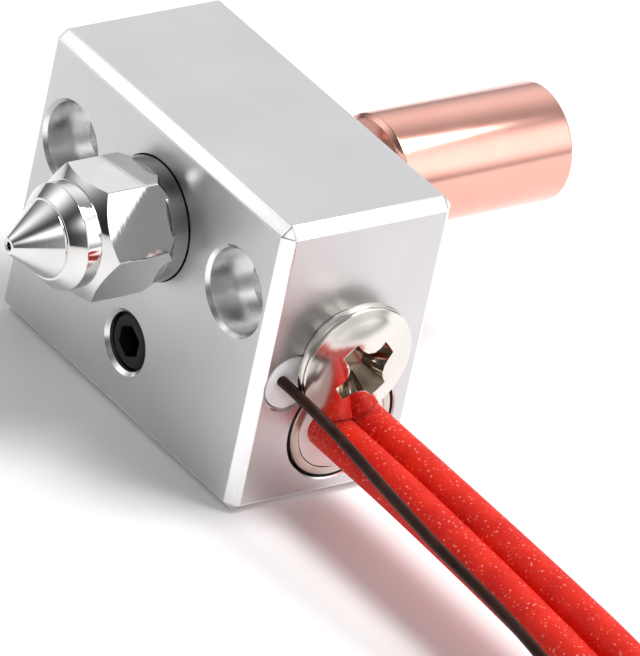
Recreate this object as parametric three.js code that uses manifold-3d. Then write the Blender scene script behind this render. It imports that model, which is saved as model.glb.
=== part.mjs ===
// A hotend for a desktop 3-D printer: heater block, nozzle, two-metal heat break,
// cartridge heater, potted thermistor, and the screws that hold them.
// Millimetres, +Z up. The block lies on its long narrow side, as on a bench:
// the nozzle points along -X, the heat break along +X, and the wires leave along -Y.

import * as THREE from 'three';
import * as BufferGeometryUtils from 'three/addons/utils/BufferGeometryUtils.js';
import { ConvexGeometry } from 'three/addons/geometries/ConvexGeometry.js';
import Module from 'manifold-3d';

const wasm = await Module();
wasm.setup();

// ---- driving dimensions ----

const PAST = 1; // how far a cutting shape runs past the surface that it cuts
const GAP = 0.05; // between faces of two pieces that touch
const EASE = 0.02; // a hair's breadth

const BLOCK = { x: 10.1, y: 20, z: 16, chamfer: 0.54 };
const FACE = { nozzle: -BLOCK.x / 2, heatSink: BLOCK.x / 2, wires: -BLOCK.y / 2, back: BLOCK.y / 2 };

// the filament's path, along X: M6 threads, drawn plain at their outer size
const FILAMENT = { y: 0, z: 10.95, boreRadius: 1 };
const M6 = { hole: 3, shank: 2.92 };

const NOZZLE = {
  tip: -13.47, tipRadius: 0.4, orifice: 0.2, orificeLength: 0.6, boreStart: -11.6,
  firstConeEnd: -11.4, firstConeRadius: 1.94,
  secondConeEnd: -10.67, secondConeRadius: 2.62,
  hexFront: -9.87, hexCornerFront: -9.3, hexCornerBack: -6.35, hexBack: -5.95,
  hexRadius: 3.42, hexCorner: 56,
  collarRadius: 3.1, threadEnd: 0.45,
};

const HEAT_BREAK = {
  threadStart: 0.6, threadEnd: 4.95, boreRadius: FILAMENT.boreRadius,
  tubeRadius: 1.6, tubeEnd: 13, tubeGap: 0.06,
  sleeveStart: 8, sleeveEnd: 18.4, sleeveRadius: 2.98, startChamfer: 0.25, endChamfer: 0.15,
  leadInRadius: 1.5, leadInDepth: 0.7,
};

// two holes for the long screws that hang the block under the heat sink
const LONG_SCREWS = {
  y: 6.95, z: FILAMENT.z, radius: 1.42, headRadius: 2.12, headDepth: 2.2, mouthRadius: 2.3, mouthDepth: 0.18,
};

const HEATER = {
  x: 0.73, z: 4.21, hole: 3.1, radius: 2.92, wall: 0.42, start: FACE.wires, end: 9.9, endWall: 0.8,
  sealLength: 2.8, coreRadius: 1.45, coreStart: -6, coreEnd: 8.4,
  wireRadius: 0.13, wireWind: 1.68, wireTurns: 8, wireStart: -5.4, wireEnd: 7.8,
  pinRadius: 0.3, pinEnd: -6.4, pinGap: 0.08, fit: 0.06,
};

const GRUB = {
  z: 3.87, hole: 1.5, radius: 1.44, start: -4.8, end: -2.3, mouthRadius: 1.69, mouthDepth: 0.19,
  edge: 0.2, socketAcross: 1.5, socketDepth: 1.2,
};

const THERMISTOR = {
  x: -2.95, z: 7.2, hole: 1.47, holeEnd: -3.5, mouthRadius: 1.6, mouthDepth: 0.13,
  pottingRadius: 1.41, pottingEnd: -4, pocketRadius: 0.8, pocketStart: -6.6,
  beadRadius: 0.65, beadStart: -6.3, beadEnd: -4.2,
  legRadius: 0.1, legSpacing: 0.34, legStart: -9.7, legEnd: -6.45, legHole: 0.36,
  legX: -0.25, legZ: 0.2,
};

const CLAMP = {
  x: -0.24, z: 8.53, hole: 1.2, shank: 1.14, holeEnd: -7.95, shankEnd: -8.19,
  lockWasher: 0.8, lockOuter: 2.35, lockInner: 1.35, lockSplit: 0.35, lockSlant: 30,
  washer: 0.39, washerRadius: 3.17, washerHole: 1.6, gap: 0.03,
  headBand: 0.23, headRadius: 3.1, domeHeight: 0.72, domeFlat: 1.4,
  recessArm: 1.75, recessWidth: 0.62, recessDepth: 0.95, recessTurn: 41,
};

// The two heater leads lie side by side, so the tube drawn for each one is a little thin. Each is
// wound up in two turns, one on top of the other, and its crimped end lies inside its coil.
const LEAD = {
  wireRadius: 1.06, tubeRadius: 0.9, tubeSteps: 12, leftX: -0.25, rightX: 1.87, z: 4.3,
  coilY: -59.3, coilRadius: 10.6, coilGap: 0.1, levels: 2, levelRise: 2.16, hookRadius: 4.6, runOut: 5,
};
// Each lead's route from the heater to its coil: out, a slow sag, then along the surface.
const LEAD_ROUTES = {
  left: [
    [-0.25, -10.3, 4.27], [-0.25, -11.5, 4.27], [-0.25, -13, 4.27], [-0.25, -15.5, 4.26], [-0.27, -18.5, 4.22],
    [-0.3, -21.5, 4.16], [-0.34, -24.5, 4.08], [-0.4, -27.5, 3.98], [-0.45, -30.5, 3.84], [-0.48, -33.5, 3.58],
    [-0.47, -36.5, 3.15], [-0.44, -39.5, 2.55], [-0.39, -42.5, 1.9], [-0.33, -45.5, 1.35], [-0.28, -48.5, 1.1],
    [-0.25, -52, 1.06],
  ],
  right: [
    [1.87, -10.3, 4.32], [1.87, -11.5, 4.32], [1.87, -13, 4.32], [1.87, -15.5, 4.32], [1.87, -18.5, 4.31],
    [1.87, -21.5, 4.29], [1.87, -24.5, 4.26], [1.87, -27.5, 4.2], [1.87, -30.5, 4.1], [1.87, -33.5, 3.88],
    [1.87, -36.5, 3.45], [1.87, -39.5, 2.8], [1.87, -42.5, 2.05], [1.87, -45.5, 1.4], [1.87, -48.5, 1.12],
    [1.87, -52, 1.06],
  ],
};
const FERRULE = {
  start: 0.25, collarRadius: 1.35, collarEndRadius: 0.95, collarLength: 3, collarBore: 1.1,
  funnelStart: 1.5, funnelEnd: 1.8, pinRadius: 0.6, pinBore: 0.45, pinStart: 1.9, pinLength: 5.7, pinGap: 0.06,
};

// a thin band round each coil's turns, which lifts the coil off the surface
const TIE = {
  thickness: 0.3, gap: 0.12, width: 2.2,
  sensorThickness: 0.15, sensorWidth: 0.8, sensorTurn: -135,
};

// The thermistor's lead. Its coil is wound inwards on the surface and outwards again on top.
const SENSOR_WIRE = {
  radius: 0.27, coilX: -6.8, coilY: -43, coilOuter: 4.2, coilInner: 1.7, levels: 2, levelRise: 0.57,
  exitAngle: -108, exitRun: 8.5, tubeSteps: 22, tailSteps: 6,
};
const SENSOR_ROUTE = [
  [-3.55, -10.3, 7.45], [-3.5, -11, 7.4], [-3.3, -12.5, 7.15], [-3.05, -14.8, 6.72], [-2.98, -17.6, 6.28],
  [-2.98, -20.2, 5.98], [-2.85, -22.5, 5.62], [-2.62, -24.9, 5.27], [-2.46, -27.4, 4.94], [-2.48, -30, 4.64],
  [-2.5, -32.4, 4.2], [-2.5, -34.6, 3.5], [-2.52, -36.6, 2.55], [-2.55, -38.4, 1.6], [-2.58, -40, 0.9],
];
// Its tail from the coil to the plug: [distance along, height].
const SENSOR_TAIL = [[2.8, 0.6], [4.5, 0.35], [6.3, 0.8], [8.2, 1.8]];
const PLUG = {
  length: 8, width: 5.4, height: 3.6, wall: 0.65,
  contactSize: 1.4, contactBore: 0.84, contactLength: 6, contactInset: 0.4, contactGap: 0.08,
};

const SIDES = { fine: 40, medium: 28, coarse: 16, cord: 8 };

// The origin is the middle of the underside of everything but the free wires.
const MIDDLE = {
  x: (NOZZLE.tip + HEAT_BREAK.sleeveEnd) / 2,
  y: (FACE.back + FACE.wires - CLAMP.lockWasher - CLAMP.washer - CLAMP.headBand - CLAMP.domeHeight) / 2,
};

// ---- materials ----

const metal = (color, roughness) => new THREE.MeshStandardMaterial({ color, roughness, metalness: 1 });
const plain = (color, roughness) => new THREE.MeshStandardMaterial({ color, roughness, metalness: 0 });

const MATERIALS = {
  aluminium: metal(0xd4d5d8, 0.38),
  nickel: metal(0xc9c4bd, 0.16),
  copper: metal(0xdb9f8a, 0.24),
  stainless: metal(0xb9b6b0, 0.32),
  blackSteel: metal(0x1c1c1f, 0.45),
  tinnedCopper: metal(0xc8c8c4, 0.3),
  resistanceWire: metal(0x8c8680, 0.4),
  ceramic: plain(0xe6ddd8, 0.8),
  potting: plain(0xe9e4e4, 0.75),
  glass: plain(0x9a6a3a, 0.1),
  redSilicone: plain(0xe32b1e, 0.5),
  brownSleeve: plain(0x46302b, 0.45),
  tieBand: plain(0x24252a, 0.6),
  whiteNylon: plain(0xece8df, 0.5),
  redNylon: plain(0xb52a22, 0.45),
};

// ---- solids and cuts ----

function toSolid(geometry) {
  const bare = geometry.index ? geometry.clone() : geometry;
  bare.deleteAttribute('normal');
  bare.deleteAttribute('uv');
  const merged = BufferGeometryUtils.mergeVertices(bare, 1e-5);
  const place = merged.attributes.position;
  const corners = [0, 1, 2].map(() => new THREE.Vector3());
  const triangles = [];
  let volume = 0;
  for (let i = 0; i < merged.index.count; i += 3) {
    const ids = [0, 1, 2].map((k) => merged.index.getX(i + k));
    if (new Set(ids).size < 3) continue;
    ids.forEach((id, k) => corners[k].fromBufferAttribute(place, id));
    volume += corners[0].dot(corners[1].clone().cross(corners[2]));
    triangles.push(ids);
  }
  const facingOut = volume > 0 ? triangles : triangles.map(([a, b, c]) => [a, c, b]);
  return new wasm.Manifold(new wasm.Mesh({
    numProp: 3,
    vertProperties: new Float32Array(place.array),
    triVerts: new Uint32Array(facingOut.flat()),
  }));
}

function toGeometry(solid) {
  const mesh = solid.getMesh();
  const geometry = new THREE.BufferGeometry();
  geometry.setAttribute('position', new THREE.BufferAttribute(mesh.vertProperties, 3));
  geometry.setIndex(new THREE.BufferAttribute(mesh.triVerts, 1));
  geometry.computeVertexNormals();
  return geometry;
}

const join = (...shapes) => toGeometry(shapes.map(toSolid).reduce((whole, next) => whole.add(next)));
function cut(shape, ...tools) {
  return toGeometry(tools.map(toSolid).reduce((left, tool) => left.subtract(tool), toSolid(shape)));
}
const common = (a, b) => toGeometry(toSolid(a).intersect(toSolid(b)));

// A turned shape. Its outline is [radius, distance along the axis] from one end to the other.
function turned(outline, sides) {
  return new THREE.LatheGeometry(outline.map(([radius, along]) => new THREE.Vector2(radius, along)), sides);
}
const alongX = (geometry, y, z) => geometry.rotateZ(-Math.PI / 2).translate(0, y, z);
const alongY = (geometry, x, z) => geometry.translate(x, 0, z);
const upright = (geometry, x, y) => geometry.rotateX(Math.PI / 2).translate(x, y, 0);

const rod = (radius, from, to, sides) => turned([[0, from], [radius, from], [radius, to], [0, to]], sides);
function pipe(outer, inner, from, to, sides) {
  return turned([[inner, from], [outer, from], [outer, to], [inner, to], [inner, from]], sides);
}

// A hole with a chamfered mouth at `mouth`, running to `end`.
function hole(radius, mouthRadius, mouthDepth, mouth, end, sides) {
  const inward = Math.sign(end - mouth);
  const outside = mouth - inward;
  return turned([
    [0, outside], [mouthRadius, outside], [mouthRadius, mouth],
    [radius, mouth + inward * mouthDepth], [radius, end], [0, end],
  ], sides);
}

// A tube along a smooth curve through the points.
function cord(points, radius, steps) {
  const curve = new THREE.CatmullRomCurve3(points.map((p) => new THREE.Vector3(...p)));
  const section = new THREE.Shape();
  section.absarc(0, 0, radius, 0, Math.PI * 2);
  return new THREE.ExtrudeGeometry(section, { steps, curveSegments: SIDES.cord / 2, extrudePath: curve });
}

const degrees = (angle) => (angle * Math.PI) / 180;

const root = new THREE.Group();
root.name = 'hotend_assembly';
root.position.set(-MIDDLE.x, -MIDDLE.y, 0);

function add(name, geometry, material) {
  const mesh = new THREE.Mesh(geometry, MATERIALS[material]);
  mesh.name = name;
  root.add(mesh);
  return mesh;
}

// ---- heater block ----

function chamferedBox(x, y, z, chamfer) {
  const corners = [];
  for (const sx of [-1, 1]) for (const sy of [-1, 1]) for (const sz of [-1, 1]) {
    for (const full of [0, 1, 2]) {
      const inset = [chamfer, chamfer, chamfer];
      inset[full] = 0;
      const [dx, dy, dz] = inset;
      corners.push(new THREE.Vector3(sx * (x / 2 - dx), sy * (y / 2 - dy), sz * (z / 2 - dz)));
    }
  }
  return new ConvexGeometry(corners);
}

function heaterBlock() {
  const box = chamferedBox(BLOCK.x, BLOCK.y, BLOCK.z, BLOCK.chamfer).translate(0, 0, BLOCK.z / 2);
  const filament = alongX(rod(M6.hole, FACE.nozzle - PAST, FACE.heatSink + PAST, SIDES.fine),
    FILAMENT.y, FILAMENT.z);
  const longScrews = [-1, 1].flatMap((side) => [
    alongX(rod(LONG_SCREWS.radius, FACE.nozzle - PAST, FACE.heatSink + PAST, SIDES.medium),
      side * LONG_SCREWS.y, LONG_SCREWS.z),
    alongX(hole(LONG_SCREWS.headRadius, LONG_SCREWS.mouthRadius, LONG_SCREWS.mouthDepth,
      FACE.nozzle, FACE.nozzle + LONG_SCREWS.headDepth, SIDES.fine), side * LONG_SCREWS.y, LONG_SCREWS.z),
  ]);
  const heater = alongY(rod(HEATER.hole, FACE.wires - PAST, FACE.back + PAST, SIDES.fine), HEATER.x, HEATER.z);
  const grub = alongX(hole(GRUB.hole, GRUB.mouthRadius, GRUB.mouthDepth, FACE.nozzle, HEATER.x, SIDES.medium),
    FILAMENT.y, GRUB.z);
  const thermistor = alongY(hole(THERMISTOR.hole, THERMISTOR.mouthRadius, THERMISTOR.mouthDepth,
    FACE.wires, THERMISTOR.holeEnd, SIDES.medium), THERMISTOR.x, THERMISTOR.z);
  const clamp = alongY(rod(CLAMP.hole, FACE.wires - PAST, CLAMP.holeEnd, SIDES.medium), CLAMP.x, CLAMP.z);
  return cut(box, filament, ...longScrews, heater, grub, thermistor, clamp);
}

// ---- nozzle and heat break ----

function hexagon(cornerRadius, from, to, cornerAngle) {
  const shape = new THREE.CylinderGeometry(cornerRadius, cornerRadius, to - from, 6);
  return shape.rotateY(-degrees(cornerAngle)).translate(0, (from + to) / 2, 0);
}

function nozzle() {
  const n = NOZZLE;
  const turnedBody = turned([
    [0, n.tip], [n.tipRadius, n.tip], [n.firstConeRadius, n.firstConeEnd],
    [n.secondConeRadius, n.secondConeEnd], [n.secondConeRadius, n.hexBack],
    [n.collarRadius, n.hexBack], [n.collarRadius, FACE.nozzle - GAP],
    [M6.shank, FACE.nozzle - GAP], [M6.shank, n.threadEnd], [0, n.threadEnd],
  ], SIDES.fine);
  const overCorners = n.hexRadius + EASE;
  const chamfered = turned([
    [0, n.hexFront], [n.secondConeRadius, n.hexFront], [overCorners, n.hexCornerFront],
    [overCorners, n.hexCornerBack], [n.collarRadius, n.hexBack + GAP], [0, n.hexBack + GAP],
  ], SIDES.fine);
  const hex = common(chamfered, hexagon(n.hexRadius, n.hexFront - PAST, n.hexBack + PAST, n.hexCorner));
  const bore = turned([
    [0, n.tip - PAST], [n.orifice, n.tip - PAST], [n.orifice, n.tip + n.orificeLength],
    [FILAMENT.boreRadius, n.boreStart], [FILAMENT.boreRadius, n.threadEnd + PAST], [0, n.threadEnd + PAST],
  ], SIDES.coarse);
  return alongX(cut(join(turnedBody, hex), bore), FILAMENT.y, FILAMENT.z);
}

function heatBreakThread() {
  const h = HEAT_BREAK;
  return alongX(pipe(M6.shank, h.tubeRadius + h.tubeGap, h.threadStart, h.threadEnd, SIDES.fine),
    FILAMENT.y, FILAMENT.z);
}

function heatBreakTube() {
  const h = HEAT_BREAK;
  return alongX(pipe(h.tubeRadius, h.boreRadius, h.threadStart, h.tubeEnd, SIDES.medium),
    FILAMENT.y, FILAMENT.z);
}

function heatBreakSleeve() {
  const h = HEAT_BREAK;
  const socket = h.tubeRadius + h.tubeGap;
  const socketEnd = h.tubeEnd + h.tubeGap;
  return alongX(turned([
    [socket, h.sleeveStart], [h.sleeveRadius - h.startChamfer, h.sleeveStart],
    [h.sleeveRadius, h.sleeveStart + h.startChamfer], [h.sleeveRadius, h.sleeveEnd - h.endChamfer],
    [h.sleeveRadius - h.endChamfer, h.sleeveEnd], [h.leadInRadius, h.sleeveEnd],
    [h.boreRadius, h.sleeveEnd - h.leadInDepth], [h.boreRadius, socketEnd],
    [socket, socketEnd], [socket, h.sleeveStart],
  ], SIDES.fine), FILAMENT.y, FILAMENT.z);
}

// ---- screws ----

function grubScrew() {
  const g = GRUB;
  const body = turned([
    [0, g.start], [g.radius - g.edge, g.start], [g.radius, g.start + g.edge],
    [g.radius, g.end - g.edge], [g.radius - g.edge, g.end], [0, g.end],
  ], SIDES.medium);
  const socket = hexagon(g.socketAcross / Math.sqrt(3), g.start - PAST, g.start + g.socketDepth, 0);
  return alongX(cut(body, socket), FILAMENT.y, g.z);
}

// The clamp screw's stack, worked out from the wire face: lock washer, flat washer, head.
const STACK = {
  lockFrom: FACE.wires - CLAMP.lockWasher,
  washerFrom: FACE.wires - CLAMP.lockWasher - CLAMP.washer,
  domeFrom: FACE.wires - CLAMP.lockWasher - CLAMP.washer - CLAMP.headBand,
  top: FACE.wires - CLAMP.lockWasher - CLAMP.washer - CLAMP.headBand - CLAMP.domeHeight,
};

function clampScrew() {
  const c = CLAMP;
  const domeSteps = 6;
  const dome = Array.from({ length: domeSteps + 1 }, (_, i) => {
    const turn = (i / domeSteps) * (Math.PI / 2);
    const radius = c.domeFlat + (c.headRadius - c.domeFlat) * Math.sin(turn);
    return [radius, STACK.top + c.domeHeight * (1 - Math.cos(turn))];
  });
  const body = turned([
    [0, STACK.top], ...dome, [c.headRadius, STACK.washerFrom - c.gap],
    [c.shank, STACK.washerFrom - c.gap], [c.shank, c.shankEnd], [0, c.shankEnd],
  ], SIDES.fine);
  const arms = [0, 90].map((turn) => new THREE.BoxGeometry(2 * c.recessArm, 2 * c.recessDepth, c.recessWidth)
    .rotateY(-degrees(c.recessTurn + turn)).translate(0, STACK.top, 0));
  return alongY(cut(body, ...arms), c.x, c.z);
}

function clampWasher() {
  const c = CLAMP;
  return alongY(pipe(c.washerRadius, c.washerHole, STACK.washerFrom, STACK.lockFrom - c.gap, SIDES.fine),
    c.x, c.z);
}

// A ring with a slanting split.
function clampLockWasher() {
  const c = CLAMP;
  const ring = pipe(c.lockOuter, c.lockInner, STACK.lockFrom, FACE.wires - c.gap, SIDES.medium);
  const middle = (STACK.lockFrom + FACE.wires) / 2;
  const split = new THREE.BoxGeometry(c.lockSplit, 3 * c.lockWasher, c.lockOuter)
    .rotateZ(degrees(c.lockSlant)).translate(0, middle, -(c.lockOuter + c.lockInner) / 2);
  return alongY(cut(ring, split), c.x, c.z);
}

// ---- cartridge heater ----

function heaterSheath() {
  const h = HEATER;
  const inner = h.radius - h.wall;
  return alongY(turned([
    [inner, h.start], [h.radius, h.start], [h.radius, h.end], [0, h.end],
    [0, h.end - h.endWall], [inner, h.end - h.endWall], [inner, h.start],
  ], SIDES.fine), h.x, h.z);
}

function heaterCore() {
  const h = HEATER;
  return alongY(rod(h.coreRadius, h.coreStart, h.coreEnd, SIDES.coarse), h.x, h.z);
}

function heaterElement() {
  const h = HEATER;
  const stepsPerTurn = 12;
  const steps = h.wireTurns * stepsPerTurn;
  const points = Array.from({ length: steps + 1 }, (_, i) => {
    const turn = (2 * Math.PI * i) / stepsPerTurn;
    const y = THREE.MathUtils.lerp(h.wireStart, h.wireEnd, i / steps);
    return [h.x + h.wireWind * Math.cos(turn), y, h.z + h.wireWind * Math.sin(turn)];
  });
  return cord(points, h.wireRadius, steps);
}

const leadXs = { left: LEAD.leftX, right: LEAD.rightX };

function heaterEndSeal() {
  const h = HEATER;
  const plug = alongY(rod(h.radius - h.wall - h.fit, h.start, h.start + h.sealLength, SIDES.medium), h.x, h.z);
  const through = { from: h.start - PAST, to: h.start + h.sealLength + PAST };
  const pinHoles = Object.values(leadXs).map((x) =>
    alongY(rod(h.pinRadius + h.pinGap, through.from, through.to, SIDES.coarse), x, LEAD.z));
  return cut(plug, ...pinHoles);
}

// ---- thermistor ----

function thermistorPotting() {
  const t = THERMISTOR;
  const plug = rod(t.pottingRadius, FACE.wires, t.pottingEnd, SIDES.medium);
  const pocket = rod(t.pocketRadius, t.pocketStart, t.pottingEnd + PAST, SIDES.coarse);
  const legHole = rod(t.legHole, FACE.wires - PAST, t.pocketStart + GAP, SIDES.coarse)
    .translate(t.legX, 0, t.legZ);
  return alongY(cut(plug, pocket, legHole), t.x, t.z);
}

function thermistorBead() {
  const t = THERMISTOR;
  const rounds = 5;
  const round = (end, middle) => Array.from({ length: rounds + 1 }, (_, i) => {
    const turn = (i / rounds) * (Math.PI / 2);
    return [t.beadRadius * Math.sin(turn), middle + (end - middle) * Math.cos(turn)];
  });
  const outline = [
    ...round(t.beadStart, t.beadStart + t.beadRadius),
    ...round(t.beadEnd, t.beadEnd - t.beadRadius).reverse(),
  ];
  outline[0][0] = 0;
  outline[outline.length - 1][0] = 0;
  return alongY(turned(outline, SIDES.coarse), t.x, t.z);
}

function thermistorLeg(side) {
  const t = THERMISTOR;
  const x = t.x + t.legX + (side * t.legSpacing) / 2;
  return alongY(rod(t.legRadius, t.legStart, t.legEnd, SIDES.cord), x, t.z + t.legZ);
}

// ---- free wires: straight out, down to the surface, then coiled ----

const coilFloor = TIE.thickness + TIE.gap;
const sensorCoilFloor = TIE.sensorThickness + TIE.gap;
const leadTube = (route) => cord(route, LEAD.tubeRadius, LEAD.tubeSteps);
const sensorTube = () => cord(SENSOR_ROUTE, SENSOR_WIRE.radius, SENSOR_WIRE.tubeSteps);

const leadCoilSize = {
  outer: LEAD.coilRadius + LEAD.wireRadius - LEAD.coilGap,
  inner: LEAD.coilRadius - LEAD.wireRadius,
  height: 2 * LEAD.wireRadius + (LEAD.levels - 1) * LEAD.levelRise,
};
const sensorCoilSize = {
  outer: SENSOR_WIRE.coilOuter + SENSOR_WIRE.radius,
  inner: SENSOR_WIRE.coilInner - SENSOR_WIRE.radius,
  height: 2 * SENSOR_WIRE.radius + (SENSOR_WIRE.levels - 1) * SENSOR_WIRE.levelRise,
};

function coil(size, floor, x, y) {
  return upright(pipe(size.outer, size.inner, floor, floor + size.height, SIDES.medium), x, y);
}

// A band round a coil's turns at its far side.
function tie(size, thickness, width) {
  const open = { across: size.outer - size.inner + 2 * TIE.gap, high: size.height + 2 * TIE.gap };
  const band = new THREE.BoxGeometry(width, open.across + 2 * thickness, open.high + 2 * thickness);
  const window = new THREE.BoxGeometry(width + PAST, open.across, open.high);
  return cut(band, window).translate(0, -(size.inner + size.outer) / 2, open.high / 2 + thickness);
}

const leadTie = (centreX) => tie(leadCoilSize, TIE.thickness, TIE.width).translate(centreX, LEAD.coilY, 0);
const sensorTie = () => tie(sensorCoilSize, TIE.sensorThickness, TIE.sensorWidth)
  .rotateZ(degrees(TIE.sensorTurn)).translate(SENSOR_WIRE.coilX, SENSOR_WIRE.coilY, 0);

// A lead leaves the top of its coil inwards, by a quarter bend, and runs down to its crimped end,
// which lies across the coil's middle. `side` is 1 for the right-hand coil and -1 for its mirror image.
function ferrulePlace(centreX, side) {
  const inwards = LEAD.runOut + LEAD.hookRadius - LEAD.coilRadius;
  const place = new THREE.Group();
  place.position.set(centreX + side * inwards, LEAD.coilY - LEAD.hookRadius, FERRULE.collarRadius + EASE);
  place.rotation.z = side > 0 ? 0 : Math.PI;
  return place;
}

function ferruleCollar() {
  const f = FERRULE;
  const end = f.start + f.collarLength;
  const bore = f.pinRadius + f.pinGap;
  return alongX(turned([
    [f.collarBore, f.start], [f.collarRadius, f.start], [f.collarRadius, f.pinStart],
    [f.collarEndRadius, end], [bore, end], [bore, f.funnelEnd],
    [f.collarBore, f.funnelStart], [f.collarBore, f.start],
  ], SIDES.coarse), 0, 0);
}

function ferrulePin() {
  const f = FERRULE;
  return alongX(pipe(f.pinRadius, f.pinBore, f.pinStart, f.pinStart + f.pinLength, SIDES.coarse), 0, 0);
}

// Where the wire leaves its coil, and the way it points there.
function sensorExit() {
  const angle = degrees(SENSOR_WIRE.exitAngle);
  const from = new THREE.Vector2(
    SENSOR_WIRE.coilX + SENSOR_WIRE.coilOuter * Math.cos(angle),
    SENSOR_WIRE.coilY + SENSOR_WIRE.coilOuter * Math.sin(angle));
  return { from, way: new THREE.Vector2(Math.sin(angle), -Math.cos(angle)) };
}

function sensorTail() {
  const { from, way } = sensorExit();
  const points = SENSOR_TAIL.map(([run, height]) => [from.x + way.x * run, from.y + way.y * run, height]);
  return cord(points, SENSOR_WIRE.radius, SENSOR_WIRE.tailSteps);
}

function plugPlace() {
  const { from, way } = sensorExit();
  const place = new THREE.Group();
  place.position.set(from.x + way.x * SENSOR_WIRE.exitRun, from.y + way.y * SENSOR_WIRE.exitRun, PLUG.height / 2);
  place.rotation.z = way.angle();
  return place;
}

const cavityWidth = (PLUG.width - 3 * PLUG.wall) / 2;
const contactY = [-1, 1].map((side) => (side * (cavityWidth + PLUG.wall)) / 2);

function plugHousing() {
  const p = PLUG;
  const body = new THREE.BoxGeometry(p.length, p.width, p.height).translate(p.length / 2, 0, 0);
  const cavities = contactY.map((y) =>
    new THREE.BoxGeometry(p.length, cavityWidth, p.height - 2 * p.wall).translate(p.length / 2 + p.wall, y, 0));
  return cut(body, ...cavities);
}

// A folded sheet-metal socket: a square tube, lying on the floor of its cavity.
function plugContact(y) {
  const p = PLUG;
  const outer = new THREE.BoxGeometry(p.contactLength, p.contactSize, p.contactSize);
  const inner = new THREE.BoxGeometry(p.contactLength + PAST, p.contactBore, p.contactBore);
  const drop = p.height / 2 - p.wall - p.contactGap - p.contactSize / 2;
  return cut(outer, inner).translate(p.wall + p.contactInset + p.contactLength / 2, y, -drop);
}

// ---- assembly ----

add('heater_block', heaterBlock(), 'aluminium');
add('nozzle', nozzle(), 'nickel');
add('heat_break_thread', heatBreakThread(), 'copper');
add('heat_break_tube', heatBreakTube(), 'stainless');
add('heat_break_sleeve', heatBreakSleeve(), 'copper');
add('grub_screw', grubScrew(), 'blackSteel');
add('clamp_screw', clampScrew(), 'nickel');
add('clamp_washer', clampWasher(), 'nickel');
add('clamp_lock_washer', clampLockWasher(), 'nickel');

add('heater_sheath', heaterSheath(), 'stainless');
add('heater_core', heaterCore(), 'ceramic');
add('heater_element', heaterElement(), 'resistanceWire');
add('heater_end_seal', heaterEndSeal(), 'potting');

add('thermistor_potting', thermistorPotting(), 'potting');
add('thermistor_bead', thermistorBead(), 'glass');
add('thermistor_leg_left', thermistorLeg(-1), 'tinnedCopper');
add('thermistor_leg_right', thermistorLeg(1), 'tinnedCopper');
add('thermistor_lead', sensorTube(), 'brownSleeve');
add('thermistor_lead_coil', coil(sensorCoilSize, sensorCoilFloor, SENSOR_WIRE.coilX, SENSOR_WIRE.coilY),
  'brownSleeve');
add('thermistor_lead_tail', sensorTail(), 'brownSleeve');
add('coil_tie_thermistor', sensorTie(), 'tieBand');

for (const [name, x] of Object.entries(leadXs)) {
  const side = name === 'right' ? 1 : -1;
  const centreX = x + side * LEAD.coilRadius;
  const pin = rod(HEATER.pinRadius, HEATER.start + GAP, HEATER.pinEnd, SIDES.cord);
  add(`heater_pin_${name}`, alongY(pin, x, LEAD.z), 'tinnedCopper');
  add(`heater_lead_${name}`, leadTube(LEAD_ROUTES[name]), 'redSilicone');
  add(`heater_lead_coil_${name}`, coil(leadCoilSize, coilFloor, centreX, LEAD.coilY), 'redSilicone');
  add(`coil_tie_${name}`, leadTie(centreX), 'tieBand');
  const place = ferrulePlace(centreX, side);
  const collar = add(`ferrule_collar_${name}`, ferruleCollar(), 'redNylon');
  const metalEnd = add(`ferrule_pin_${name}`, ferrulePin(), 'tinnedCopper');
  place.add(collar, metalEnd);
  root.add(place);
}

const plug = plugPlace();
plug.add(add('thermistor_plug', plugHousing(), 'whiteNylon'));
contactY.forEach((y, i) => plug.add(add(`thermistor_plug_contact_${i + 1}`, plugContact(y), 'tinnedCopper')));
root.add(plug);

export default root;
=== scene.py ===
# The looks of the hotend assembly: fine shapes and materials round the fixed CAD frame.
import math

import bmesh
import bpy
from mathutils import Matrix, Vector


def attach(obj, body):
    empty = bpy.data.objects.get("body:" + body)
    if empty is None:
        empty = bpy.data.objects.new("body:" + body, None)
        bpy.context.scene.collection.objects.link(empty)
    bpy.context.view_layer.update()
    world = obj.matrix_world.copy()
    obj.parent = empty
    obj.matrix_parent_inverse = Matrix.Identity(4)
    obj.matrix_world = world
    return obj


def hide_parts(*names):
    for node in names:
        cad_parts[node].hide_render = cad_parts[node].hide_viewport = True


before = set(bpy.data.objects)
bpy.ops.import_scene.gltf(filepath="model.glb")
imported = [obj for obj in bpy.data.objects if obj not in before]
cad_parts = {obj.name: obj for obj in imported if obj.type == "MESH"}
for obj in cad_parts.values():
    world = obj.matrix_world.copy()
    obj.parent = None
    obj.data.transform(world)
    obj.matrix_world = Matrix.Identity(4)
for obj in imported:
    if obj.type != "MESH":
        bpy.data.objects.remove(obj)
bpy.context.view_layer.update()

# ---- sizes, in millimetres from the block's middle, with z from the surface it lies on ----

MM = 0.001
MIDDLE = Vector((2.465, -1.07, 0))  # the row frame's origin
BLOCK = Vector((10.1, 20, 16))
CHAMFER = 0.54
FACE_NOZZLE = -BLOCK.x / 2
FACE_WIRES = -BLOCK.y / 2
AXIS_Z = 10.95  # height of the filament's path
HEATER = (0.73, 4.21)  # x and z of its axis
HEATER_BORE = 3.1
SHEATH_RADIUS = 2.92
SEAL_RADIUS = 2.44
THERMISTOR = (-2.95, 7.2)
THERMISTOR_BORE = 1.47
POTTING_RADIUS = 1.41
GRUB_Z = 3.87
LONG_SCREW_Y = 6.95
LONG_SCREW_HOLE = 1.42
LONG_SCREW_HEAD_HOLE = 2.12
CLAMP = (-0.24, 8.53)
CLAMP_HOLE = 1.2
RECESS_DEPTH = 1.25
RECESS_TURN = 41
RECESS_REACH = 1.9  # from the clamp screw's axis to past the ends of its recess
COLLAR_FROM = -6.15
WASHER_FROM = -11.19
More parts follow.
